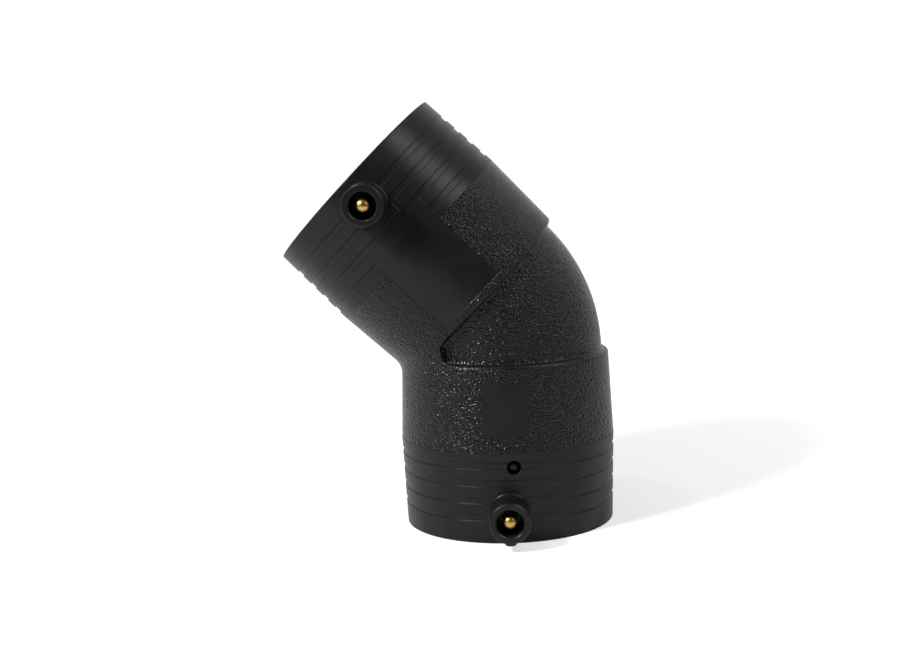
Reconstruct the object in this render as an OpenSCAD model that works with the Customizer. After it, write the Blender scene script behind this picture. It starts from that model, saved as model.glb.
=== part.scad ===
// Electrofusion elbow: one moulded body with two pipe sockets at 45 degrees, two brass
// terminal pins in moulded shrouds, and one resistance wire wound into both sockets.
// The origin is the centre of the lower mouth, +Z runs up the lower socket and the upper
// socket leans to -X. The terminals face -Y.

/* [Pipe and bend] */
// Outer diameter of the pipe that the sockets take
pipe_d = 63; // [60:0.5:68]
// Wall thickness of that pipe, which sets the flow passage
pipe_wall = 5.8; // [4:0.1:7]
// Radial play between the pipe and a socket
pipe_play = 0.2; // [0.1:0.05:0.4]
// Angle between the two socket axes
bend_angle = 45; // [35:1:50]
// Radius of the bend along its middle
bend_radius = 30.4; // [30:0.1:34]

/* [Sockets] */
// Depth from the mouth to the pipe stop
insert_l = 60; // [57:0.5:66]
// Length from the pipe stop to the shoulder outside
stop_l = 5.4; // [5:0.1:8]
// Wall of the socket at its mouth
wall = 8.3; // [8:0.1:11]
// Length of the smooth band beside the mouth
smooth_l = 33.6; // [32:0.1:38]
// Growth in radius from the mouth to the end of the smooth band
rise_h = 1.1; // [0.6:0.1:2]
// Fall in radius from there to the shoulder
fall_h = 1.3; // [0.6:0.1:1.8]
// Drop in radius from the shoulder to the bend
bend_step = 2.6; // [1.5:0.1:3.5]
// Radius inside the notch where the two shoulders meet
notch_r = 4.8; // [3:0.1:7]
// Bevel on the outer edge of a mouth
mouth_edge = 0.2; // [0.1:0.05:0.6]
// Bevel on the outer edge of a shoulder
edge = 0.7; // [0.3:0.1:1.2]
// Lead-in bevel inside the mouth
lead_in = 1; // [0.5:0.1:1]

/* [Ring grooves] */
// Number of grooves round each smooth band
groove_count = 4; // [3:1:4]
// Width of a groove
groove_w = 2.5; // [1.5:0.1:3]
// Depth of a groove
groove_depth = 0.45; // [0.3:0.05:0.8]
// Plain land between the mouth and the first groove
first_land = 8.25; // [7:0.25:10]
// Plain land between the last groove and the grained zone
last_land = 3.4; // [2:0.1:5]

/* [Label panel and pad] */
// Width of the sunk label panel round the upper socket
panel_w = 29.4; // [20:0.2:36]
// Depth of the label panel
panel_depth = 0.4; // [0.2:0.05:0.7]
// Grained strip between the panel and the shoulder
panel_edge = 3.1; // [2:0.1:6]
// Width of the raised pad beside the upper terminal
pad_w = 16.6; // [10:0.2:22]
// Height of the pad over its land
pad_h = 0.25; // [0.1:0.05:0.5]
// Turn of the pad round the socket from the terminal
pad_turn = -2.7; // [-6:0.1:6]

/* [Terminals] */
// Diameter of a terminal pin
pin_d = 4.7; // [4:0.1:5]
// Radius of a pin's domed tip
tip_r = 3.2; // [2.9:0.1:5]
// Distance of a terminal from its mouth
terminal_s = 11; // [10:0.25:13]
// Outer diameter of a terminal shroud
shroud_d = 15; // [14:0.1:17]
// Inner diameter of a terminal shroud
well_d = 9.9; // [9:0.1:11]
// Height of a shroud over the radius of the mouth
shroud_h = 13.8; // [11:0.1:16]
// Depth of the pin's tip inside the shroud
tip_depth = 1.2; // [0.5:0.1:3]
// Width of the rib below the lower shroud
rib_w = 4.2; // [2:0.1:6]
// Height of that rib below the shroud
rib_h = 0.7; // [0.3:0.1:1.5]

/* [Fusion indicator] */
// Diameter of the indicator's hole
indicator_d = 5.2; // [4.5:0.1:6]
// Diameter of the peg in the hole
peg_d = 2.5; // [2:0.1:3]
// Depth of the peg's end below the socket's surface
peg_depth = 0.9; // [0.5:0.1:2]
// Distance of the hole from the lower mouth
indicator_s = 28.3; // [25:0.1:32]
// Sideways offset of the hole from the terminal
indicator_x = 2; // [0:0.1:3]

/* [Heating wire] */
// Diameter of the resistance wire
wire_d = 0.8; // [0.5:0.1:1]
// Full turns in each socket
wire_turns = 11; // [9:1:12]
// Length of the winding in each socket
winding_l = 35; // [30:0.5:40]

/* [Hidden] */
$fn = 96;

// Overcut of tools that run out through a face
cut = 1;
half_angle = bend_angle / 2;
socket_l = insert_l + stop_l;
// From a mouth to the point where the two axes meet
reach = socket_l + bend_radius * tan(half_angle);

bore_r = pipe_d / 2 + pipe_play;
passage_r = pipe_d / 2 - pipe_wall;
mouth_r = bore_r + wall;
band_r = mouth_r + rise_h;
end_r = band_r - fall_h;
bend_r = end_r - bend_step;
// Centre of the round corner in the notch
notch_x = -bend_radius + notch_r / tan(half_angle);
// Larger than any radius of the part
span = 2 * reach;

groove_pitch = (smooth_l - first_land - last_land - groove_w) / (groove_count - 1);
panel_angle = panel_w / band_r * 180 / PI;
pad_angle = pad_w / mouth_r * 180 / PI;
pad_setback = 0.15;
// The panel starts at the last groove but one
panel_s = groove_s(groove_count - 2) + groove_w / 2;

// Floor of a shroud's well over the radius of the mouth
floor_h = 1.5;
well_floor = mouth_r + floor_h;
shroud_front = mouth_r + shroud_h;
pin_tip = shroud_front - tip_depth;
// Where a pin's dome meets its shank
dome_start = pin_tip - tip_r + sqrt(tip_r * tip_r - pin_d * pin_d / 4);
// Bevel on the rims of a shroud
shroud_edge = 0.5;
// Neck and collar that hold the pin in the wall, and the stub that the wire is welded to
neck_h = 0.4;
collar_h = 1.2;
collar_t = 1.5;
collar_depth = 1.2;
stub_r = 1.2;
stub_l = 1;
neck_r = pin_d / 2 + neck_h;
collar_r = pin_d / 2 + collar_h;
collar_y = mouth_r - collar_depth;
stub_end = collar_y - collar_t - stub_l;

// The winding lies in a shallow bed, just clear of the bed's wall and of the bore
wire_sides = 6;
steps_per_turn = 30;
wire_play = 0.05;
bed_depth = 0.25;
bed_r = bore_r + wire_d + bed_depth;
wire_path_r = bed_r - wire_play - wire_d / 2;
bed_s = terminal_s - wire_d;
bed_l = winding_l + 2 * wire_d;
slot_w = wire_d + 2 * wire_play;
slot_opening = 0.3;
// Wall left between the bed and the floor of the indicator's hole
indicator_wall = 1.6;
indicator_floor = bed_r + indicator_wall;

// Step in the passage where the moulding core of the bend meets the core of a socket
core_step = 0.3;
// Angle by which the bend's shapes run on into both sockets
bend_overrun = 1;

// Start of a groove, counted from the mouth
function groove_s(i) = first_land + i * groove_pitch;

// Outer radius of a socket at a distance from its mouth
function outer_r(s) =
    s < smooth_l
        ? mouth_r + rise_h * s / smooth_l
        : band_r - fall_h * (s - smooth_l) / (socket_l - smooth_l);

// Places a shape built in the lower socket's place on the upper socket
module on_upper() {
    translate([0, 0, reach])
        mirror([-sin(half_angle), 0, cos(half_angle)])
            translate([0, 0, -reach])
                children();
}

// Turns a shape built along +Z so that it runs out along -Y at a distance from the mouth
module facing_out(s) {
    translate([0, 0, s]) rotate([90, 0, 0]) children();
}

// All that lies on the lower socket's side of the plane halfway round the bend
module lower_half_space() {
    translate([0, 0, reach])
        rotate([0, -half_angle, 0])
            translate([-span, -span, -2 * span])
                cube([2 * span, 2 * span, 2 * span]);
}

// Skin of a socket between two distances from the mouth, raised or sunk by a height
module skin_ring(s0, s1, low, high, angle = 360) {
    rotate([0, 0, -90 - angle / 2])
        rotate_extrude(angle = angle)
            polygon([
                [outer_r(s0) + low, s0],
                [outer_r(s0) + high, s0],
                if (s0 < smooth_l && s1 > smooth_l) [band_r + high, smooth_l],
                [outer_r(s1) + high, s1],
                [outer_r(s1) + low, s1],
                if (s0 < smooth_l && s1 > smooth_l) [band_r + low, smooth_l]
            ]);
}

// Socket as a solid, carried on past the shoulder to the middle of the bend
module socket_mass() {
    far_s = reach + end_r;
    rotate_extrude()
        polygon([
            [0, 0],
            [mouth_r - mouth_edge, 0],
            [outer_r(mouth_edge), mouth_edge],
            [band_r, smooth_l],
            [outer_r(far_s), far_s],
            [0, far_s]
        ]);
}

// Wedge cut out beyond the shoulder, with a round inner corner
module notch() {
    rotate([90, 0, 0])
        linear_extrude(height = 2 * span, center = true) {
            translate([notch_x, socket_l]) square([span, span]);
            translate([notch_x, socket_l + notch_r]) circle(r = notch_r);
        }
}

// Bevel round the shoulder's edge, from the notch's corner outwards
module shoulder_bevel() {
    intersection() {
        rotate_extrude()
            polygon([
                [end_r - edge - cut, socket_l + cut],
                [end_r + cut, socket_l - edge - cut],
                [end_r + cut, socket_l + cut]
            ]);
        translate([notch_x, -span, 0]) cube([span, 2 * span, span]);
    }
}

module ring_grooves() {
    for (i = [0 : groove_count - 1])
        skin_ring(groove_s(i), groove_s(i) + groove_w, -groove_depth, cut);
}

// One half of the outside, from a mouth to the middle of the bend
module outer_half() {
    difference() {
        intersection() {
            socket_mass();
            lower_half_space();
        }
        notch();
        shoulder_bevel();
        ring_grooves();
    }
}

// Circle swept round the bend and a little past both shoulders, left open inside a radius
module bend_sweep(r, open_r = 0) {
    translate([-bend_radius, 0, socket_l])
        rotate([90, bend_overrun, 0])
            rotate_extrude(angle = bend_angle + 2 * bend_overrun)
                intersection() {
                    translate([bend_radius, 0]) circle(r = r);
                    translate([open_r, -r]) square([bend_radius + r, 2 * r]);
                }
}

module shroud() {
    facing_out(terminal_s)
        rotate_extrude()
            polygon([
                [0, bore_r + wall / 2],
                [shroud_d / 2, bore_r + wall / 2],
                [shroud_d / 2, shroud_front - shroud_edge],
                [shroud_d / 2 - shroud_edge, shroud_front],
                [0, shroud_front]
            ]);
}

// Well of a shroud, the seat of its pin and the hole for the wire's end
module terminal_cavity() {
    facing_out(terminal_s) {
        translate([0, 0, well_floor]) cylinder(d = well_d, h = shroud_front);
        translate([0, 0, shroud_front - shroud_edge])
            cylinder(r1 = well_d / 2, r2 = well_d / 2 + shroud_edge + cut, h = shroud_edge + cut);
        pin_shape();
        translate([0, 0, bore_r]) cylinder(d = slot_w, h = stub_end - bore_r + wire_play);
    }
}

// Terminal pin along +Z: stub, collar, neck, free shank and round tip
module pin_shape() {
    pin_r = pin_d / 2;
    rotate_extrude() {
        polygon([
            [0, stub_end],
            [stub_r, stub_end],
            [stub_r, collar_y - collar_t],
            [collar_r, collar_y - collar_t],
            [collar_r, collar_y],
            [neck_r, collar_y],
            [neck_r, well_floor],
            [pin_r, well_floor],
            [pin_r, dome_start],
            [0, dome_start]
        ]);
        intersection() {
            translate([0, pin_tip - tip_r]) circle(r = tip_r);
            translate([0, dome_start]) square(tip_r);
        }
    }
}

// Bore, pipe stop and bed of the winding inside one socket
module socket_cavity() {
    translate([0, 0, -cut]) cylinder(r = bore_r, h = insert_l + cut);
    translate([0, 0, -cut])
        cylinder(r1 = bore_r + lead_in + cut, r2 = bore_r, h = lead_in + cut);
    translate([0, 0, bed_s]) cylinder(r = bed_r, h = bed_l);
    translate([0, 0, insert_l - cut]) cylinder(r = passage_r, h = stop_l + cut);
    wire_slot();
}

// Slot that carries the wire from the bed to its mitre with the other socket's slot
module wire_slot() {
    slot_s = bed_s + bed_l - wire_d;
    slot_end = reach - wire_path_r * tan(half_angle) + slot_w / 2;
    translate([-bed_r, -slot_w / 2, slot_s])
        cube([bed_r - bore_r + slot_opening, slot_w, slot_end - slot_s]);
}

// Blind hole with a peg that rises when the joint is fused
module indicator() {
    peg_end = outer_r(indicator_s) - peg_depth;
    translate([indicator_x, 0, 0])
        facing_out(indicator_s)
            difference() {
                translate([0, 0, indicator_floor]) cylinder(d = indicator_d, h = wall);
                translate([0, 0, indicator_floor - cut])
                    cylinder(d = peg_d, h = peg_end - indicator_floor + cut);
            }
}

module shroud_rib() {
    rib_bottom = terminal_s - shroud_d / 2 - rib_h;
    translate([-rib_w / 2, -shroud_front + shroud_edge, rib_bottom])
        cube([rib_w, shroud_h, shroud_d / 2]);
}

module label_panel() {
    skin_ring(panel_s, socket_l - panel_edge, -panel_depth, cut, panel_angle);
}

// Low pad on the land between the second and the third groove
module terminal_pad() {
    pad_s0 = groove_s(1) + groove_w + pad_setback;
    pad_s1 = groove_s(2) - pad_setback;
    rotate([0, 0, pad_turn])
        skin_ring(pad_s0, pad_s1, -groove_depth / 2, pad_h, pad_angle);
}

module body() {
    color([0.16, 0.17, 0.17])
        difference() {
            union() {
                outer_half();
                shroud();
                shroud_rib();
                on_upper() {
                    difference() {
                        outer_half();
                        label_panel();
                    }
                    shroud();
                    terminal_pad();
                }
                bend_sweep(bend_r, notch_r);
            }
            socket_cavity();
            on_upper() socket_cavity();
            bend_sweep(passage_r - core_step);
            terminal_cavity();
            on_upper() terminal_cavity();
            indicator();
        }
}

module terminal_pin_lower() {
    color([0.80, 0.64, 0.30]) facing_out(terminal_s) pin_shape();
}

module terminal_pin_upper() {
    color([0.80, 0.64, 0.30]) on_upper() facing_out(terminal_s) pin_shape();
}

// Half of the wire's route: in from the pin, round the socket, and on to the middle
function wire_half() =
    let (
        total = 360 * wire_turns + 90,
        steps = round(steps_per_turn * total / 360)
    )
    concat(
        [[0, -stub_end, terminal_s]],
        [
            for (i = [0 : steps])
                let (turn = -90 - total * i / steps)
                [
                    wire_path_r * cos(turn),
                    wire_path_r * sin(turn),
                    terminal_s + winding_l * i / steps
                ]
        ],
        [[-wire_path_r, 0, reach - wire_path_r * tan(half_angle)]]
    );

// Mirror image of a point on the other side of the middle of the bend
function across(p) =
    let (
        n = [-sin(half_angle), 0, cos(half_angle)],
        away = (p - [0, 0, reach]) * n
    )
    p - 2 * away * n;

// The whole route, with the middle point taken once
function wire_route() =
    let (half = wire_half(), last = len(half) - 1)
    concat(half, [for (i = [last - 1 : -1 : 0]) across(half[i])]);

function unit(v) = v / norm(v);

// Slides a point along a direction until it meets the plane through a point
function slide(p, dir, at, normal) = p + dir * (((at - p) * normal) / (dir * normal));

// Wire of even thickness along a route, with mitred corners
module sweep_wire(route, r, sides) {
    last = len(route) - 1;
    dirs = [for (i = [0 : last - 1]) unit(route[i + 1] - route[i])];
    normals = [
        for (i = [0 : last])
            i == 0 ? dirs[0] : i == last ? dirs[last - 1] : unit(dirs[i - 1] + dirs[i])
    ];
    side = unit(cross(dirs[0], [0, 0, 1]));
    up = cross(side, dirs[0]);
    start = [
        for (j = [0 : sides - 1])
            route[0] + r * (cos(360 * j / sides) * side + sin(360 * j / sides) * up)
    ];
    rings = [
        for (
            i = 0, ring = start;
            i <= last;
            i = i + 1,
            ring = i > last ? ring : [for (p = ring) slide(p, dirs[i - 1], route[i], normals[i])]
        )
            ring
    ];
    points = [for (ring = rings) each ring];
    walls = [
        for (i = [0 : last - 1], j = [0 : sides - 1])
            let (k = (j + 1) % sides)
            [i * sides + j, (i + 1) * sides + j, (i + 1) * sides + k, i * sides + k]
    ];
    ends = [
        [for (j = [0 : sides - 1]) j],
        [for (j = [sides - 1 : -1 : 0]) last * sides + j]
    ];
    polyhedron(points = points, faces = concat(walls, ends));
}

module heating_wire() {
    color([0.72, 0.42, 0.24]) sweep_wire(wire_route(), wire_d / 2, wire_sides);
}

body();
terminal_pin_lower();
terminal_pin_upper();
heating_wire();
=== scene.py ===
"""Looks of the electrofusion elbow: moulded body, terminals, winding, studio and camera.

All shapes are worked out in millimetres in the frame of the solids and scaled to metres when a
mesh is made. Every feature of a socket is built in the lower socket's place. The upper socket is
its mirror image across the plane halfway round the bend.
"""

import math

import bmesh
import bpy
import numpy as np
from mathutils import Matrix, Vector


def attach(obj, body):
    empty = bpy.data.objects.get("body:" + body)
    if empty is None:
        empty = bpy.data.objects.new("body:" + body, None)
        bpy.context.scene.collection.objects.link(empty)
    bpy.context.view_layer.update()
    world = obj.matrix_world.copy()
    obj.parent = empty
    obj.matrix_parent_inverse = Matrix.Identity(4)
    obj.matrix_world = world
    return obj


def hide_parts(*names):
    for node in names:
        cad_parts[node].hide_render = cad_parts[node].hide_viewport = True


MM = 0.001

# Sizes of the solids, in millimetres. A distance s runs inwards from a socket's mouth.
BORE_R = 31.7
PASSAGE_R = 25.7
BEND_PASSAGE_R = 25.4
MOUTH_R = 40.0
BAND_R = 41.1
END_R = 39.8
BEND_R = 37.2
INSERT_L = 60.0
SOCKET_L = 65.4
SMOOTH_L = 33.6
BEND_RADIUS = 30.4
HALF_ANGLE = math.radians(22.5)
REACH = SOCKET_L + BEND_RADIUS * math.tan(HALF_ANGLE)
BEND_INNER = 7.0

# Rounded tip of the notch between the two sockets, on both sides of the bend
NOTCH_R = 4.8
NOTCH_X = -BEND_RADIUS + NOTCH_R / math.tan(HALF_ANGLE)
NOTCH_END_X = NOTCH_X - NOTCH_R * math.cos(HALF_ANGLE)

# Grooves run from one distance to another. Panel, pad and patch have two distances and two
# angles, in degrees round the socket with 0 at the front.
GROOVES = [(s, s + 2.5) for s in (8.25, 14.73, 21.22, 27.7)]
GROOVE_DEPTH = 0.45
PANEL = (22.47, 62.3, -20.5, 20.5)
PANEL_DEPTH = 0.42
PAD = (17.38, 21.07, -14.6, 9.2)
PAD_H = 0.25
PATCH = (39.9, 59.3, -12.6, 11.0)

# Terminals: the ends along a pin are distances from the socket's axis
TERMINAL_S = 11.0
SHROUD_R = 7.5
WELL_R = 4.95
WELL_FLOOR = 41.5
SHROUD_FRONT = 53.8
PIN_R = 2.35
PIN_TIP = 52.6
PIN_FOOT = 41.0
TIP_R = 3.2
DOME_START = PIN_TIP - TIP_R + math.sqrt(TIP_R**2 - PIN_R**2)
SHROUD_FOOT = 0.7
RIM_BEVEL = 0.5

# Bar below the lower shroud: half its width, its two edges and its corners
RIB_HALF = 2.1
RIB_LOW = TERMINAL_S - SHROUD_R - 0.7
RIB_HIGH = TERMINAL_S - 6.2
RIB_CORNER = 1.2

# Fusion indicator: a hole with a peg that stands slightly off its middle
INDICATOR_X = 2.0
INDICATOR_S = 28.3
INDICATOR_R = 2.6
INDICATOR_FLOOR = 34.35
PEG_R = 1.25
PEG_DEPTH = 0.9
PEG_OFFSET = np.array([-0.15, 0.1])

# Winding and its bed. The winding's turn is in degrees.
WIRE_R = 0.4
WIRE_PATH_R = 32.3
WIRE_START = 36.3
WINDING_L = 35.0
WINDING_TURN = 360.0 * 11 + 90.0
BED_R = 32.75
BED_S = 10.2
BED_L = 36.6

# Roundings and edges of the scene alone, which the solids leave sharp or bevelled
SHOULDER_ROUND = 1.4
NOTCH_ROUND = 0.5
MOUTH_ROUND = 0.36
CROTCH_ROUND = 8.0
ROOT_ROUND = 1.4
TIP_FILL = 0.6
RAMP = 0.1
GRAIN_STEP = 0.08
GRAIN_EDGE = 0.05
EDGE_GRAIN = 0.3
NICK_AT = math.radians(97)
NICK_SPREAD = 0.13

# Grid of a socket: millimetres for each degree, the last row at a fixed distance, and the part of
# the lower socket's grid (angles, distances) that the indicator's own patch of mesh replaces
TO_MM = math.radians(1) * BAND_R
FIXED_S = 56.0
HOLE_A = (-1.7, 7.3)
HOLE_S = (25.2, 31.4)

# Camera, from a fit to the photograph's outlines: yaw, pitch and roll in degrees, then
# millimetres, then pixels of an image of the photograph's width
CAMERA_TURN = (2.374, -7.508, -2.251)
CAMERA_TARGET = (-20.80, 0.0, 75.88)
CAMERA_DISTANCE = 539.4
FOCAL_PIXELS = 1394.7
IMAGE_WIDTH = 900
SENSOR_WIDTH = 36.0

# Lamps: direction from the point they face, distance and size in metres, radiance, colour
LAMP_AIM = (-0.02, 0.0, 0.08)
LAMPS = {
    "soft_right": ((0.67, -0.36, 0.65), 0.9, (0.36, 0.60), 4.4, (1.0, 0.99, 0.97)),
    "key_left": ((-0.62, -0.52, 0.58), 1.0, (0.18, 0.12), 168.0, (1.0, 0.98, 0.95)),
    "overhead": ((-0.36, -0.15, 0.91), 0.9, (0.10, 0.10), 24.0, (1.0, 0.99, 0.97)),
}

# Room that gloss sees, by place from front to back, and the floor: just under the object, with
# rings in millimetres round a middle that is shifted back by a share of the radius
ROOM = ((0.0, 0.04), (0.3, 0.08), (0.52, 0.38), (0.75, 0.58), (0.92, 0.80))
ROOM_LIGHT = 0.35
FLOOR_Z = -0.02
FLOOR_RINGS = (0.0, 300.0, 900.0)
FLOOR_SHIFT = 0.35


def ramp(value, start):
    """0 before start, 1 after it, straight in between over twice RAMP."""
    return np.clip((value - start + RAMP) / (2 * RAMP), 0, 1)


def window(value, low, high):
    """1 between low and high, 0 outside them."""
    return ramp(value, low) - ramp(value, high)


def within(s, angle, box):
    """1 inside a box of two distances and two angles, 0 outside it."""
    s0, s1, a0, a1 = box
    return window(s, s0, s1) * window(angle * TO_MM, a0 * TO_MM, a1 * TO_MM)


def outer_radius(s):
    """Radius of a socket's plain outside at a distance from its mouth."""
    s = np.asarray(s, float)
    near = MOUTH_R + (BAND_R - MOUTH_R) * s / SMOOTH_L
    far = BAND_R - (BAND_R - END_R) * (s - SMOOTH_L) / (SOCKET_L - SMOOTH_L)
    return np.where(s < SMOOTH_L, near, far)


def across(points):
    """Mirror image on the other side of the plane halfway round the bend."""
    normal = np.array([-math.sin(HALF_ANGLE), 0, math.cos(HALF_ANGLE)])
    away = (points - np.array([0, 0, REACH])) @ normal
    return points - 2 * away[..., None] * normal


def relief(s, angle, upper):
    """Height of the moulded features over the plain outside, and where the grain lies."""
    grooves = sum(window(s, a, b) for a, b in GROOVES) * GROOVE_DEPTH
    grain = np.clip((s - SMOOTH_L + GRAIN_EDGE) / (2 * GRAIN_EDGE), 0, 1)
    inside = within(s, angle, PANEL if upper else PATCH)
    height = -GRAIN_STEP * grain
    if upper:
        sunk = np.maximum(grooves, inside * PANEL_DEPTH)
        height = height * (1 - inside) + PAD_H * within(s, angle, PAD) - sunk
    else:
        height = height - grooves
    return height, grain * (1 - inside)


def lines(base, edges, reach, clear):
    """Grid lines: an even base, with a close set round each edge that the relief has."""
    keep = [v for v in base if all(abs(v - e) > clear for e in edges)]
    close = [e + k * reach for e in edges for k in (-1.6, -1.0, 0.0, 1.0, 1.6)]
    return np.array(sorted(set(np.round(keep + close, 5))))


class Shape:
    """Points, faces and grain values gathered for one mesh."""

    def __init__(self):
        self.points, self.faces, self.grain, self.count = [], [], [], 0

    def add(self, points, faces, grain=0.0):
        """Adds points and the faces between them, numbered from the first of these points."""
        points = np.asarray(points, float).reshape(-1, 3)
        self.points.append(points)
        self.grain.append(np.broadcast_to(np.ravel(grain), len(points)))
        self.faces.append(np.asarray(faces) + self.count)
        self.count += len(points)

    def add_grid(self, grid, wrap, keep=None, grain=0.0, flip=False):
        """grid has rows and columns of points; keep says which cells become faces."""
        rows, cols = grid.shape[:2]
        index = np.arange(rows * cols).reshape(rows, cols)
        right = np.roll(index, -1, axis=1)
        if not wrap:
            index, right = index[:, :-1], right[:, :-1]
        quads = np.stack([index[:-1], right[:-1], right[1:], index[1:]], axis=-1)
        if keep is not None:
            quads = quads[keep]
        quads = quads.reshape(-1, 4)
        self.add(grid, quads[:, ::-1] if flip else quads, grain)

    def make(self, name, material, sharp=32.0, weld=None):
        """Makes the object. Edges over the sharp angle stay hard, and weld picks seam points."""
        mesh = bpy.data.meshes.new(name)
        faces = [f for block in self.faces for f in block.tolist()]
        mesh.from_pydata((np.concatenate(self.points) * MM).tolist(), [], faces)
        layer = mesh.attributes.new("grain", "FLOAT", "POINT")
        layer.data.foreach_set("value", np.concatenate(self.grain).astype(np.float32))
        if weld is not None:
            weld_points(mesh, weld)
        mesh.shade_smooth()
        mesh.set_sharp_from_angle(angle=math.radians(sharp))
        mesh.materials.append(material)
        piece = bpy.data.objects.new(name, mesh)
        bpy.context.scene.collection.objects.link(piece)
        return piece


def weld_points(mesh, test):
    """Joins the points that lie on one another, among those that the test picks."""
    work = bmesh.new()
    work.from_mesh(mesh)
    picked = [v for v in work.verts if test(v.co)]
    bmesh.ops.remove_doubles(work, verts=picked, dist=0.003 * MM)
    work.to_mesh(mesh)
    work.free()


def near_middle(co):
    """Says whether a point lies on the plane halfway round the bend."""
    away = -math.sin(HALF_ANGLE) * co.x + math.cos(HALF_ANGLE) * (co.z - REACH * MM)
    return abs(away) < 0.01 * MM


# ---------------------------------------------------------------- moulded body, outside
def socket_columns(upper):
    """Angles of a socket's grid, closer together on the front, at edges and at the notch."""
    base = [*np.arange(-180, -90, 2.0), *np.arange(-90, 90, 1.0), *np.arange(90, 180, 2.0)]
    edges = [*PANEL[2:], *PAD[2:]] if upper else [*PATCH[2:]]
    cols = lines(base, edges, RAMP / TO_MM, 0.5)
    notch = [math.degrees(math.asin(x / END_R)) for x in (NOTCH_X, NOTCH_END_X)]
    notch = np.linspace(notch[0], notch[1], 9)
    notch = np.concatenate([notch, -180 - notch])
    cols = cols[[all(abs(c - n) > 0.3 for n in notch) for c in cols]]
    if not upper:
        keep = [c for c in cols if not HOLE_A[0] - 0.4 < c < HOLE_A[1] + 0.4]
        cols = np.array(keep + list(np.linspace(HOLE_A[0], HOLE_A[1], 11)))
    return np.array(sorted(set(np.round(np.concatenate([cols, notch]), 6))))


def socket_rows(upper):
    """Distances from the mouth up to FIXED_S, then shares of what is left to the end."""
    edges = [s for g in GROOVES for s in g] + [SMOOTH_L]
    edges += [PANEL[0], PAD[0], PAD[1]] if upper else [PATCH[0]]
    fixed = lines(np.arange(2.0, FIXED_S, 3.0), edges, RAMP, 0.6)
    step = [SMOOTH_L - GRAIN_EDGE, SMOOTH_L + GRAIN_EDGE]
    fixed = np.array(sorted(set(fixed) | set(np.round(step, 5))))
    if not upper:
        fixed = np.array(sorted(set(fixed) | set(HOLE_S)))
    left = SOCKET_L - SHOULDER_ROUND - FIXED_S
    last = ((PANEL[1] if upper else PATCH[1]) - FIXED_S) / left
    share = lines(np.linspace(0, 1, 20), [last], RAMP / left, 0.03)
    return fixed, share


def socket_end(angle):
    """Where each column of a socket's grid stops: distance, rounding, crotch fill and kind."""
    x = END_R * np.sin(np.radians(angle))
    k = np.maximum(-np.sin(np.radians(angle)) * math.tan(HALF_ANGLE), 0)
    end = np.full(len(angle), SOCKET_L)
    arc = (x < NOTCH_X + 1e-6) & (x >= NOTCH_END_X - 1e-6)
    end[arc] = SOCKET_L + NOTCH_R - np.sqrt(np.maximum(NOTCH_R**2 - (x[arc] - NOTCH_X) ** 2, 0))
    meets = x < NOTCH_END_X - 1e-6
    middle = np.full(len(angle), SOCKET_L)
    for _ in range(9):
        middle = REACH + outer_radius(middle) * np.sin(np.radians(angle)) * math.tan(HALF_ANGLE)
    tip = np.argmin(abs(np.radians(angle) - math.asin(NOTCH_END_X / END_R)))
    end[tip] = REACH + NOTCH_END_X * math.tan(HALF_ANGLE)
    fill = CROTCH_ROUND * k * np.clip((NOTCH_END_X - x) / 5.0, 0, 1)
    end[meets] = (middle - k * k * fill / 2)[meets]
    t = np.clip((x - NOTCH_END_X) / (NOTCH_X - NOTCH_END_X), 0, 1)
    ease = np.clip((x - NOTCH_X) / 3.0, 0, 1)
    shoulder = NOTCH_ROUND + (SHOULDER_ROUND - NOTCH_ROUND) * ease
    rounding = np.where(x > NOTCH_X, shoulder, NOTCH_ROUND * np.sqrt(t))
    rounding[meets] = 0
    return end, rounding, fill, k, meets


def socket_grid(upper):
    """Points of a socket's outside from the mouth's inner edge to under the bend."""
    angle = socket_columns(upper)
    fixed, share = socket_rows(upper)
    end, rounding, fill, k, meets = socket_end(angle)
    radial = np.stack([np.sin(np.radians(angle)), -np.cos(np.radians(angle))], axis=-1)
    rows, grains = [], []

    def ring(radius, s, grain):
        s = np.broadcast_to(s, angle.shape)
        radius = np.broadcast_to(radius, angle.shape)
        rows.append(np.concatenate([radial * radius[:, None], s[:, None]], axis=1))
        grains.append(np.broadcast_to(grain, angle.shape))

    for r in (BORE_R + 1.0, BORE_R + 1.12, MOUTH_R - MOUTH_ROUND - 0.1):
        ring(r, 0.0, 0.0)
    for t in np.radians([0, 22.5, 45, 67.5, 90]):
        r = outer_radius(MOUTH_ROUND) - MOUTH_ROUND * (1 - math.sin(t))
        ring(r, MOUTH_ROUND * (1 - math.cos(t)), 0.0)
    for s in fixed:
        height, grain = relief(s, angle, upper)
        ring(outer_radius(s) + height, s, grain)
    stop = end - rounding
    curve = np.where(fill > 0, k / (2 * np.maximum(fill, 1e-9)), 0)
    for f in share:
        s = FIXED_S + (stop - FIXED_S) * f
        height, grain = relief(s, angle, upper)
        bulge = curve * np.maximum(s - end + fill, 0) ** 2
        ring(outer_radius(s) + height + bulge, s, grain)
    first_turn = len(rows)
    add_shoulder(rows, grains, angle, end, rounding)
    grid = np.array(rows)
    keep = np.ones((grid.shape[0] - 1, grid.shape[1]), bool)
    both = meets | np.roll(meets, -1)
    keep[first_turn - 1:, both] = False
    return grid, np.array(grains), keep, angle, fixed


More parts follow.
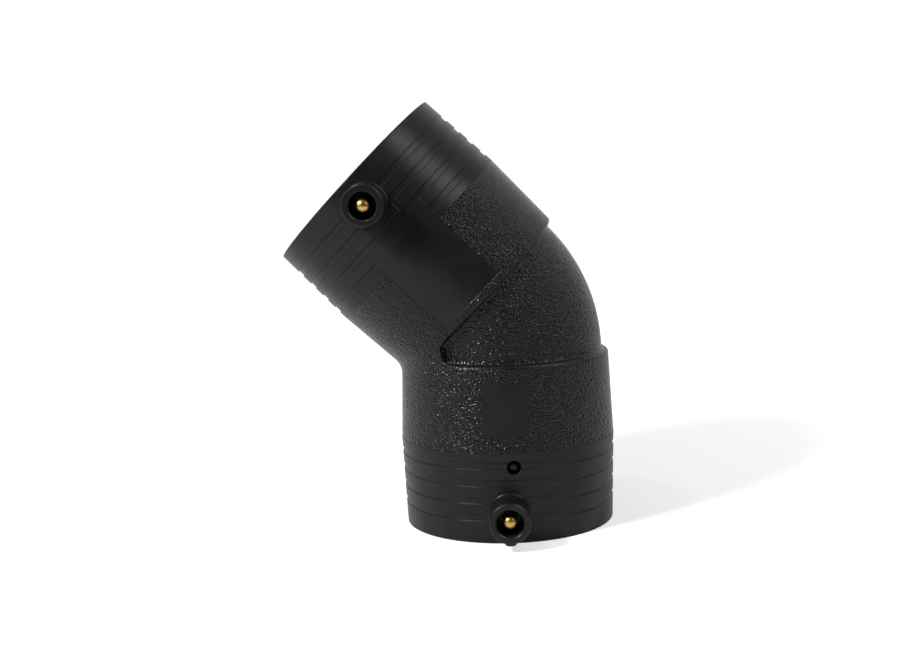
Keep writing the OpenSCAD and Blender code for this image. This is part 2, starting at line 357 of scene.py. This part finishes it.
def add_shoulder(rows, grains, angle, end, rounding):
    """Rounded edge at the end of a socket and the wall that runs in under the bend."""
    edge = rows[-1].copy()
    x = edge[:, 0]
    inward = -edge[:, :2] / np.linalg.norm(edge[:, :2], axis=1)[:, None]
    across_y = np.stack([np.zeros_like(x), -np.sign(edge[:, 1])], axis=-1)
    t = np.clip(x / NOTCH_X, 0, 1)[:, None]
    way = inward * (1 - t) + across_y * t
    way = way / np.linalg.norm(way, axis=1)[:, None]
    for turn in np.radians([22.5, 45, 67.5, 90]):
        row = edge.copy()
        row[:, 2] = end - rounding * (1 - math.sin(turn))
        row[:, :2] += way * (rounding * (1 - math.cos(turn)))[:, None]
        rows.append(row)
        grains.append(np.full(len(x), EDGE_GRAIN))
    for depth in (0.15, 1.5, 4.2):
        row = edge.copy()
        row[:, :2] += way * (rounding + depth)[:, None]
        row[:, 2] = end
        rows.append(row)
        grains.append(np.full(len(x), EDGE_GRAIN))


def add_indicator(shape, grid, angle, rows_s, first_row):
    """Patch with the round hole, its wall and floor, and the peg that rises when fused."""
    i0, i1 = [first_row + int(np.argmin(abs(rows_s - s))) for s in HOLE_S]
    j0, j1 = [int(np.argmin(abs(angle - a))) for a in HOLE_A]
    loop = [grid[i0, j] for j in range(j0, j1)] + [grid[i, j1] for i in range(i0, i1)]
    loop += [grid[i1, j] for j in range(j1, j0, -1)] + [grid[i, j0] for i in range(i1, i0, -1)]
    loop = np.array(loop)
    centre = np.array([INDICATOR_X, INDICATOR_S])
    flat = loop[:, [0, 2]] - centre
    way = flat / np.linalg.norm(flat, axis=1)[:, None]

    def on_skin(xz, drop=0.0):
        radius = outer_radius(xz[:, 1])
        turn = np.degrees(np.arcsin(xz[:, 0] / radius))
        radius = radius + relief(xz[:, 1], turn, False)[0] - drop
        y = -np.sqrt(radius**2 - xz[:, 0] ** 2)
        return np.stack([xz[:, 0], y, xz[:, 1]], axis=-1)

    rings = [loop]
    start = np.linalg.norm(flat, axis=1)
    for f in (0.12, 0.25, 0.4, 0.55, 0.7, 0.83, 0.93):
        reach = start + (INDICATOR_R + 0.22 - start) * f
        rings.append(on_skin(centre + way * reach[:, None]))
    for out, drop in ((0.2, 0.0), (0.09, 0.03), (0.02, 0.11), (0.0, 0.25)):
        rings.append(on_skin(centre + way * (INDICATOR_R + out), drop))
    deep = centre + way * INDICATOR_R
    rings.append(np.stack([deep[:, 0], np.full(len(deep), -INDICATOR_FLOOR), deep[:, 1]], -1))
    top = float(outer_radius(INDICATOR_S)) - PEG_DEPTH
    for radius, y in (
        (PEG_R + 0.1, INDICATOR_FLOOR),
        (PEG_R, INDICATOR_FLOOR + 0.1),
        (PEG_R, top - 0.25),
        (PEG_R - 0.08, top - 0.08),
        (PEG_R - 0.28, top),
        (0.02, top + 0.03),
    ):
        ring = centre + PEG_OFFSET + way * radius
        rings.append(np.stack([ring[:, 0], np.full(len(ring), -y), ring[:, 1]], axis=-1))
    shape.add_grid(np.array(rings), True)
    return i0, i1, j0, j1


def moulded_body(material):
    """Both sockets' outsides and the bend between them, as one mesh."""
    shape = Shape()
    for upper in (False, True):
        grid, grain, keep, angle, fixed = socket_grid(upper)
        if not upper:
            i0, i1, j0, j1 = add_indicator(shape, grid, angle, fixed, 8)
            keep[i0:i1, j0:j1] = False
        shape.add_grid(across(grid) if upper else grid, True, keep, grain, flip=upper)
    add_bend(shape)
    return shape.make("moulded_body", material, sharp=80.0, weld=near_middle)


def root_rise(out, theta):
    """Height of the hollow rounding over the tube, by the distance from the notch's wall."""
    along, off = out * np.cos(theta), out * np.sin(theta)
    corner = NOTCH_R / math.tan(HALF_ANGLE)
    in_corner = NOTCH_R - np.hypot(along - corner, off - NOTCH_R)
    gap = np.where(along < corner, in_corner, off)
    size = ROOT_ROUND + TIP_FILL * np.clip((corner - along) / 4.0, 0, 1)
    gap = np.clip(gap, 0, size)
    return size - np.sqrt(size**2 - (size - gap) ** 2)


def add_bend(shape):
    """The bend's tube, with a hollow rounding where it rises to each shoulder."""
    limit = math.acos((BEND_INNER - BEND_RADIUS) / BEND_R)
    near_tip = np.radians(np.linspace(116.0, 128.5, 25))
    turn = np.concatenate([np.linspace(-limit, limit, 171), near_tip, -near_tip])
    turn = np.array(sorted(set(np.round(turn, 6))))
    out = BEND_RADIUS + BEND_R * np.cos(turn)
    thetas = []
    steps = (-0.5, 0.0, 0.08, 0.2, 0.38, 0.6, 0.9, ROOT_ROUND)
    for d in steps:
        thetas.append(np.arcsin(np.clip(d / out, -0.5, 0.5)))
    start = thetas[-1]
    for f in np.linspace(0, 1, 18)[1:]:
        thetas.append(start + np.maximum(HALF_ANGLE - start, 0) * f)
    half = np.array([bend_ring(t, turn, BEND_R + root_rise(out, t)) for t in thetas])
    whole = np.concatenate([half, across(half[-2::-1])])
    grain = np.ones(half.shape[:2])
    grain[:len(steps)] = np.interp(steps, (0.3, ROOT_ROUND), (EDGE_GRAIN, 1.0))[:, None]
    grain = np.concatenate([grain, grain[-2::-1]])
    shape.add_grid(whole, False, grain=grain, flip=True)


def bend_ring(theta, turn, radius):
    """One row of points round the bend's tube, at an angle along the bend."""
    out = BEND_RADIUS + radius * np.cos(turn)
    x = -BEND_RADIUS + out * np.cos(theta)
    z = SOCKET_L + out * np.sin(theta)
    return np.stack([x, radius * np.sin(turn), z], axis=-1)


# ---------------------------------------------------------------- shrouds and rib
def skin_y(x, s):
    """Place of a socket's front along y."""
    return -np.sqrt(np.maximum(outer_radius(s) ** 2 - x**2, 0))


def shroud_grid():
    """A shroud from under the socket's skin, over its rim and down its well."""
    turn = np.linspace(0, 2 * math.pi, 96, endpoint=False)
    cos, sin = np.cos(turn), np.sin(turn)
    rows = []

    def on_skin(radius, height):
        x, s = radius * cos, TERMINAL_S + radius * sin
        rows.append(np.stack([x, skin_y(x, s) - height, s], axis=-1))

    def flat(radius, y):
        x, s = radius * cos, TERMINAL_S + radius * sin
        rows.append(np.stack([x, np.broadcast_to(-y, x.shape), s], axis=-1))

    foot, rim, bevel = SHROUD_FOOT, SHROUD_FRONT, RIM_BEVEL
    on_skin(SHROUD_R + foot, -0.9)
    for t in np.radians([0, 22.5, 45, 67.5, 90]):
        on_skin(SHROUD_R + foot * (1 - math.sin(t)), foot * (1 - math.cos(t)) - 0.02)
    for radius, y in (
        (SHROUD_R, rim - 6.0),
        (SHROUD_R, rim - bevel - 0.12),
        (SHROUD_R - 0.03, rim - bevel + 0.02),
        (SHROUD_R - bevel + 0.02, rim - 0.03),
        (SHROUD_R - bevel - 0.12, rim),
    ):
        flat(radius, y)
    nick = np.exp(-(((turn - NICK_AT) / NICK_SPREAD) ** 2))
    for radius, y, depth in (
        (WELL_R + bevel + 0.12, rim, 0.0),
        (WELL_R + bevel - 0.02, rim - 0.03, 0.25),
        (WELL_R + 0.03, rim - bevel + 0.02, 0.25),
    ):
        flat(radius + 0.35 * nick, y - depth * nick)
    for radius, y in (
        (WELL_R, rim - bevel - 0.15),
        (WELL_R - 0.06, WELL_FLOOR + 1.2),
        (WELL_R - 0.12, WELL_FLOOR + 0.35),
        (WELL_R - 0.45, WELL_FLOOR),
        (PIN_R - 0.3, WELL_FLOOR),
    ):
        flat(radius, y)
    return np.array(rows)


def rib_grid():
    """Rounded bar below the lower shroud, from the socket's skin to just behind the rim."""
    half, low, corner = RIB_HALF, RIB_LOW, RIB_CORNER
    arc = np.radians(np.linspace(0, 90, 6))
    right = [(half - corner * (1 - math.cos(t)), low + corner * (1 - math.sin(t))) for t in arc]
    left = [(-x, z) for x, z in reversed(right)]
    outline = np.array([(half, RIB_HIGH)] + right + left + [(-half, RIB_HIGH)])
    middle = np.array([0.0, (low + RIB_HIGH) / 2])
    front, front_round = SHROUD_FRONT - RIM_BEVEL, 0.35
    rows = []
    for shrink, back in ((0.0, 15.0), (0.0, front_round), (0.1, 0.1), (front_round, 0.0)):
        ring = outline + np.sign(middle - outline) * shrink * 0.9
        rows.append(np.stack([ring[:, 0], np.full(len(ring), back - front), ring[:, 1]], axis=-1))
    last = outline * 0 + middle
    rows.append(np.stack([last[:, 0], np.full(len(last), -front), last[:, 1]], axis=-1))
    return np.array(rows)


def moulded_shrouds(material):
    """Both terminal shrouds and the bar below the lower one."""
    shape = Shape()
    grid = shroud_grid()
    shape.add_grid(grid, True, flip=True)
    shape.add_grid(across(grid), True)
    shape.add_grid(rib_grid(), True)
    return shape.make("moulded_shrouds", material)


# ---------------------------------------------------------------- bore, winding and pins
def winding_ridge(s, phi):
    """Plastic that stands up between the turns of the winding."""
    pitch = WINDING_L / (WINDING_TURN / 360)
    phase = (s - TERMINAL_S) / pitch - ((-90 - phi) / 360)
    off = abs((phase + 0.5) % 1 - 0.5) * pitch
    inside = np.clip((s - BED_S - 0.3) / 0.6, 0, 1) * np.clip((BED_S + BED_L - 0.3 - s) / 0.6, 0, 1)
    return 0.36 * np.clip((off - 0.45) / 0.5, 0, 1) * inside


def bore_grid():
    """A socket's inside from its mouth to halfway round the bend, with the winding's bed.

    A slot runs from the bed to the pipe stop, on the side of the bend, for the wire to the other
    socket.
    """
    phi = np.sort(np.concatenate([np.arange(-177.0, 178.0, 3.0), [178.9, 179.3, -178.9, -179.3]]))
    rad = np.radians(phi)
    rows = []

    def ring(radius, s):
        radius = np.broadcast_to(radius, rad.shape)
        s = np.broadcast_to(s, rad.shape)
        slot = (abs(phi) > 179.1) * (s > BED_S + BED_L - 1) * (s < INSERT_L - 0.01)
        radius = np.where(slot & (radius < BED_R) & (radius > BORE_R - 0.01), BED_R, radius)
        rows.append(np.stack([radius * np.cos(rad), radius * np.sin(rad), s], axis=-1))

    for r, s in ((BORE_R + 1.0, 0.0), (BORE_R + 0.06, 0.94), (BORE_R, 1.06), (BORE_R, 6.0)):
        ring(r, s)
    ring(BORE_R, BED_S - 0.12)
    ring(BORE_R + 0.06, BED_S)
    ring(BED_R - 0.06, BED_S + 0.05)
    for s in np.linspace(BED_S + 0.12, BED_S + BED_L - 0.12, 96):
        ring(BED_R - winding_ridge(s, phi), s)
    ring(BED_R - 0.06, BED_S + BED_L - 0.05)
    ring(BORE_R + 0.06, BED_S + BED_L)
    for r, s in (
        (BORE_R, BED_S + BED_L + 0.12),
        (BORE_R, INSERT_L - 0.35),
        (BORE_R - 0.1, INSERT_L - 0.1),
        (BORE_R - 0.35, INSERT_L),
        (PASSAGE_R + 0.5, INSERT_L),
        (PASSAGE_R + 0.15, INSERT_L + 0.12),
        (PASSAGE_R, INSERT_L + 0.45),
        (PASSAGE_R, SOCKET_L - 0.1),
        (PASSAGE_R, SOCKET_L),
        (BEND_PASSAGE_R, SOCKET_L + 0.02),
    ):
        ring(r, s)
    for theta in np.linspace(0.004, HALF_ANGLE, 14):
        out = BEND_RADIUS + BEND_PASSAGE_R * np.cos(rad)
        x = -BEND_RADIUS + out * math.cos(theta)
        z = SOCKET_L + out * math.sin(theta)
        rows.append(np.stack([x, BEND_PASSAGE_R * np.sin(rad), z], axis=-1))
    return np.array(rows)


def moulded_bore(material):
    """Inside of both sockets and the flow passage between them."""
    shape = Shape()
    grid = bore_grid()
    shape.add_grid(grid, True, flip=True)
    shape.add_grid(across(grid), True)
    return shape.make("moulded_bore", material, weld=near_middle)


def wire_route():
    """Points along the wire from one pin, round both sockets, to the other pin."""
    steps = int(WINDING_TURN / 7.5)
    turn = np.radians(-90 - np.linspace(0, WINDING_TURN, steps + 1))
    s = TERMINAL_S + np.linspace(0, WINDING_L, steps + 1)
    coil = np.stack([WIRE_PATH_R * np.cos(turn), WIRE_PATH_R * np.sin(turn), s], axis=-1)
    first = np.array([[0, -WIRE_START, TERMINAL_S], [0, -WIRE_PATH_R - 1.0, TERMINAL_S]])
    middle_s = REACH - WIRE_PATH_R * math.tan(HALF_ANGLE)
    last = np.array([[-WIRE_PATH_R, 0, s[-1] + 2.0], [-WIRE_PATH_R, 0, middle_s]])
    half = np.concatenate([first, coil, last])
    return np.concatenate([half, across(half[-2::-1])])


def heating_winding(material):
    """Round wire swept along its route, with its cross-section carried from point to point."""
    route = wire_route()
    ways = np.diff(route, axis=0)
    ways = ways / np.linalg.norm(ways, axis=1)[:, None]
    tangents = np.concatenate([ways[:1], ways[:-1] + ways[1:], ways[-1:]])
    tangents = tangents / np.linalg.norm(tangents, axis=1)[:, None]
    side = np.cross(tangents[0], [0, 0, 1.0])
    around = np.linspace(0, 2 * math.pi, 8, endpoint=False)
    rows = []
    for point, tangent in zip(route, tangents):
        side = side - tangent * (side @ tangent)
        side = side / np.linalg.norm(side)
        up = np.cross(tangent, side)
        ring = point + WIRE_R * (np.cos(around)[:, None] * side + np.sin(around)[:, None] * up)
        rows.append(ring)
    rows = [rows[0] * 0 + route[0]] + rows + [rows[-1] * 0 + route[-1]]
    shape = Shape()
    shape.add_grid(np.array(rows), True)
    return shape.make("heating_winding", material, sharp=60)


def pin_grid():
    """Terminal pin turned on a lathe: foot, shank with a light waist, and domed tip."""
    turn = np.linspace(0, 2 * math.pi, 64, endpoint=False)
    profile = [(PIN_R + 0.4, PIN_FOOT), (PIN_R + 0.4, WELL_FLOOR + 0.02), (PIN_R, WELL_FLOOR + 0.3)]
    profile += [(PIN_R, 46.0), (PIN_R, DOME_START - 0.12), (PIN_R - 0.03, DOME_START)]
    for t in np.radians(np.linspace(45, 88, 12)):
        profile.append((TIP_R * math.cos(t), PIN_TIP - TIP_R + TIP_R * math.sin(t)))
    profile.append((0.001, PIN_TIP))
    rows = []
    for radius, y in profile:
        x, s = radius * np.cos(turn), TERMINAL_S + radius * np.sin(turn)
        rows.append(np.stack([x, np.full(len(turn), -y), s], axis=-1))
    return np.array(rows)


def terminal_pin(name, upper, material):
    """One of the two brass pins."""
    grid = pin_grid()
    shape = Shape()
    shape.add_grid(across(grid) if upper else grid, True, flip=not upper)
    return shape.make(name, material, sharp=50)


# ---------------------------------------------------------------- materials
class Nodes:
    """Short way to add linked shader nodes to a material."""

    def __init__(self, name):
        self.material = bpy.data.materials.new(name)
        self.material.use_nodes = True
        self.tree = self.material.node_tree
        self.shader = self.tree.nodes["Principled BSDF"]
        place = self.tree.nodes.new("ShaderNodeTexCoord")
        self.place = place.outputs["Object"]

    def add(self, kind, values=None, **settings):
        """A new node with its settings, and with a value or a link for each named input."""
        node = self.tree.nodes.new(kind)
        for key, value in settings.items():
            setattr(node, key, value)
        for key, value in (values or {}).items():
            self.put(node.inputs[key], value)
        return node

    def put(self, socket, value):
        """Links a socket to another one, or gives it a plain value."""
        if isinstance(value, bpy.types.NodeSocket):
            self.tree.links.new(value, socket)
        else:
            socket.default_value = value

    def noise(self, scale, detail=2.0, rough=0.5, distortion=0.0):
        values = {"Scale": scale, "Detail": detail, "Roughness": rough, "Distortion": distortion}
        return self.add("ShaderNodeTexNoise", {**values, "Vector": self.place}).outputs["Fac"]

    def math(self, operation, a, b):
        return self.add("ShaderNodeMath", {0: a, 1: b}, operation=operation).outputs[0]

    def range(self, value, low, high, to_low, to_high):
        """Moves a value from one range to another, and holds it at the ends."""
        ends = {"From Min": low, "From Max": high, "To Min": to_low, "To Max": to_high}
        return self.add("ShaderNodeMapRange", {"Value": value, **ends}).outputs[0]

    def ramp(self, value, stops):
        """Colour that runs through the stops, each a place and a colour."""
        node = self.add("ShaderNodeValToRGB", {"Fac": value})
        marks = node.color_ramp.elements
        while len(marks) < len(stops):
            marks.new(0.5)
        for mark, (spot, colour) in zip(marks, stops):
            mark.position = spot
            mark.color = (*colour, 1.0)
        return node.outputs["Color"]

    def bump(self, height, distance, normal=None):
        """Bump of a height map, whose full height is the distance, on top of a normal."""
        values = {"Height": height, "Distance": distance, "Strength": 1.0}
        node = self.add("ShaderNodeBump", values)
        if normal is not None:
            self.put(node.inputs["Normal"], normal)
        return node.outputs["Normal"]


def polyethylene():
    """Black moulded polyethylene: satin where it is smooth, leather grain where the mould is."""
    n = Nodes("black_polyethylene")
    grain = n.add("ShaderNodeAttribute", attribute_name="grain").outputs["Fac"]
    leather = n.noise(1400.0, 0.0, 0.5, 0.2)
    cells = n.add("ShaderNodeTexVoronoi", {"Scale": 1000.0, "Vector": n.place}, feature="SMOOTH_F1")
    cells.inputs["Smoothness"].default_value = 0.15
    pebble = n.math("POWER", cells.outputs["Distance"], 2.0)
    height = n.math("SUBTRACT", n.math("MULTIPLY", leather, 0.22), pebble)
    coarse = n.math("MULTIPLY", height, grain)
    skin = n.noise(2600.0, 2.0, 0.6)
    flow = n.noise(55.0, 3.0, 0.5, 0.4)
    fine = n.bump(n.math("ADD", skin, n.math("MULTIPLY", flow, 6.0)), 0.000004)
    normal = n.bump(coarse, 0.00046, fine)
    n.put(n.shader.inputs["Normal"], normal)
    tone = n.noise(140.0, 4.0, 0.6)
    colour = n.ramp(tone, [(0.3, (0.0050, 0.0055, 0.0055)), (0.7, (0.0078, 0.0082, 0.0080))])
    n.put(n.shader.inputs["Base Color"], colour)
    gloss = n.range(n.noise(300.0, 3.0), 0.3, 0.7, 0.30, 0.36)
    n.put(n.shader.inputs["Roughness"], n.math("ADD", gloss, n.math("MULTIPLY", grain, -0.15)))
    n.shader.inputs["Specular IOR Level"].default_value = 0.235
    return n.material


def turned_brass():
    """Brass of the terminal pins, with faint tool marks."""
    n = Nodes("turned_brass")
    tone = n.noise(260.0, 3.0, 0.6)
    colour = n.ramp(tone, [(0.3, (0.55, 0.34, 0.094)), (0.7, (0.67, 0.42, 0.137))])
    n.put(n.shader.inputs["Base Color"], colour)
    n.shader.inputs["Metallic"].default_value = 1.0
    n.put(n.shader.inputs["Roughness"], n.range(n.noise(900.0, 3.0), 0.3, 0.7, 0.27, 0.36))
    n.put(n.shader.inputs["Normal"], n.bump(n.noise(3000.0, 2.0, 0.6), 0.000006))
    return n.material


def resistance_wire():
    """Drawn copper alloy of the winding."""
    n = Nodes("resistance_wire")
    tone = n.noise(180.0, 3.0, 0.6)
    colour = n.ramp(tone, [(0.3, (0.48, 0.24, 0.12)), (0.7, (0.66, 0.36, 0.20))])
    n.put(n.shader.inputs["Base Color"], colour)
    n.shader.inputs["Metallic"].default_value = 1.0
    n.put(n.shader.inputs["Roughness"], n.range(n.noise(1500.0, 2.0), 0.3, 0.7, 0.25, 0.42))
    n.put(n.shader.inputs["Normal"], n.bump(n.noise(4000.0, 1.0), 0.000004))
    return n.material


# ---------------------------------------------------------------- studio
def seen_rays(tree):
    """1 for rays that show the background: from the camera, off gloss or through glass."""
    path = tree.nodes.new("ShaderNodeLightPath")
    total = path.outputs["Is Camera Ray"]
    for name in ("Is Glossy Ray", "Is Transmission Ray"):
        node = tree.nodes.new("ShaderNodeMath")
        node.operation = "MAXIMUM"
        tree.links.new(total, node.inputs[0])
        tree.links.new(path.outputs[name], node.inputs[1])
        total = node.outputs[0]
    return path, total


def studio_world():
    """White background. In gloss, it is white behind the object and falls off to a dim room."""
    world = bpy.data.worlds.new("studio")
    world.use_nodes = True
    tree = world.node_tree
    tree.nodes.clear()
    path, seen = seen_rays(tree)
    place = tree.nodes.new("ShaderNodeTexCoord")
    split = tree.nodes.new("ShaderNodeSeparateXYZ")
    tree.links.new(place.outputs["Generated"], split.inputs[0])
    fall = tree.nodes.new("ShaderNodeMapRange")
    for key, value in (("From Min", -1.0), ("From Max", 1.0)):
        fall.inputs[key].default_value = value
    tree.links.new(split.outputs["Y"], fall.inputs["Value"])
    room = tree.nodes.new("ShaderNodeValToRGB")
    marks = room.color_ramp.elements
    while len(marks) < len(ROOM):
        marks.new(0.5)
    for mark, (spot, level) in zip(marks, ROOM):
        mark.position = spot
        mark.color = (level, level * 0.99, level * 0.97, 1.0)
    tree.links.new(fall.outputs[0], room.inputs["Fac"])
    mix = tree.nodes.new("ShaderNodeMix")
    mix.data_type = "RGBA"
    tree.links.new(path.outputs["Is Camera Ray"], mix.inputs["Factor"])
    tree.links.new(room.outputs["Color"], mix.inputs["A"])
    mix.inputs["B"].default_value = (1.0, 1.0, 1.0, 1.0)
    backdrop = tree.nodes.new("ShaderNodeBackground")
    tree.links.new(mix.outputs["Result"], backdrop.inputs["Color"])
    light = tree.nodes.new("ShaderNodeBackground")
    light.inputs["Color"].default_value = (0.93, 0.96, 1.0, 1.0)
    light.inputs["Strength"].default_value = ROOM_LIGHT
    choose = tree.nodes.new("ShaderNodeMixShader")
    tree.links.new(seen, choose.inputs["Fac"])
    tree.links.new(light.outputs[0], choose.inputs[1])
    tree.links.new(backdrop.outputs[0], choose.inputs[2])
    out = tree.nodes.new("ShaderNodeOutputWorld")
    tree.links.new(choose.outputs[0], out.inputs["Surface"])
    bpy.context.scene.world = world


def softbox(name, way, distance, size, radiance, colour):
    """Rectangular lamp that faces the object's middle, of a given brightness."""
    lamp = bpy.data.lights.new(name, "AREA")
    lamp.shape = "RECTANGLE"
    lamp.size, lamp.size_y = size
    lamp.energy = radiance * math.pi * size[0] * size[1]
    lamp.color = colour
    holder = bpy.data.objects.new(name, lamp)
    way = Vector(way).normalized()
    holder.location = Vector(LAMP_AIM) + way * distance
    holder.rotation_euler = way.to_track_quat("Z", "Y").to_euler()
    holder.visible_camera = False
    bpy.context.scene.collection.objects.link(holder)


def studio_floor():
    """Pale floor that shows white and keeps the object's shadow, which is plainest near it."""
    n = Nodes("pale_floor")
    tone = n.ramp(n.noise(6.0, 2.0), [(0.3, (0.62, 0.62, 0.62)), (0.7, (0.64, 0.64, 0.64))])
    n.put(n.shader.inputs["Base Color"], tone)
    n.shader.inputs["Roughness"].default_value = 0.9
    n.shader.inputs["Specular IOR Level"].default_value = 0.0
    path, seen = seen_rays(n.tree)
    n.shader.inputs["Emission Color"].default_value = (1.0, 1.0, 1.0, 1.0)
    away = n.add("ShaderNodeVectorMath", {0: n.place}, operation="LENGTH").outputs["Value"]
    fill = n.range(away, 0.10, 0.60, 0.36, 0.60)
    direct = n.math("MULTIPLY", path.outputs["Is Camera Ray"], fill)
    glow = n.math("ADD", n.math("MULTIPLY", seen, 0.15), direct)
    n.put(n.shader.inputs["Emission Strength"], glow)
    turn = np.linspace(0, 2 * math.pi, 64, endpoint=False)
    rows = []
    for radius in FLOOR_RINGS:
        x, y = radius * np.cos(turn), radius * np.sin(turn) + FLOOR_SHIFT * radius
        rows.append(np.stack([x, y, np.full(len(turn), FLOOR_Z)], axis=-1))
    shape = Shape()
    shape.add_grid(np.array(rows), True)
    floor = shape.make("floor", n.material)


def camera():
    """Camera at the photograph's angle, from a fit to the outlines."""
    yaw, pitch, roll = (math.radians(v) for v in CAMERA_TURN)
    turn = Matrix.Rotation(yaw, 3, "Z") @ Matrix.Rotation(pitch, 3, "X")
    right, forward, up = turn.col[0].copy(), turn.col[1].copy(), turn.col[2].copy()
    across_view = right * math.cos(roll) + up * math.sin(roll)
    up_view = up * math.cos(roll) - right * math.sin(roll)
    spot = Vector(CAMERA_TARGET) * MM - forward * CAMERA_DISTANCE * MM
    lens = bpy.data.cameras.new("camera")
    lens.sensor_fit = "HORIZONTAL"
    lens.sensor_width = SENSOR_WIDTH
    lens.lens = FOCAL_PIXELS / IMAGE_WIDTH * SENSOR_WIDTH
    lens.clip_start = 0.01
    view = bpy.data.objects.new("camera", lens)
    frame_axes = Matrix((across_view, up_view, -forward)).transposed()
    view.matrix_world = Matrix.Translation(spot) @ frame_axes.to_4x4()
    bpy.context.scene.collection.objects.link(view)
    bpy.context.scene.camera = view


# ---------------------------------------------------------------- the scene
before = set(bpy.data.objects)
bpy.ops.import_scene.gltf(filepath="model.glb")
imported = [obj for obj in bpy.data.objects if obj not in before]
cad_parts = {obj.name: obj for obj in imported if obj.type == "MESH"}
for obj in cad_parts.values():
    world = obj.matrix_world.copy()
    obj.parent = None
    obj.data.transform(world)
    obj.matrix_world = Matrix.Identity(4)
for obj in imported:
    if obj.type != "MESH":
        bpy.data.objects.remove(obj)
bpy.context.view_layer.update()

plastic, brass, wire = polyethylene(), turned_brass(), resistance_wire()
for piece in (moulded_body(plastic), moulded_shrouds(plastic), moulded_bore(plastic)):
    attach(piece, "root")
    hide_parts("body")
for node, is_upper in (("terminal_pin_lower", False), ("terminal_pin_upper", True)):
    piece = terminal_pin("brass_" + node, is_upper, brass)
    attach(piece, "root")
    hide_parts(node)
piece = heating_winding(wire)
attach(piece, "root")
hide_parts("heating_wire")
for node, material in (("body", plastic), ("heating_wire", wire)):
    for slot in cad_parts[node].material_slots:
        slot.material = material

studio_world()
studio_floor()
for name, settings in LAMPS.items():
    softbox(name, *settings)
camera()

scene = bpy.context.scene
scene.view_settings.view_transform = "Standard"
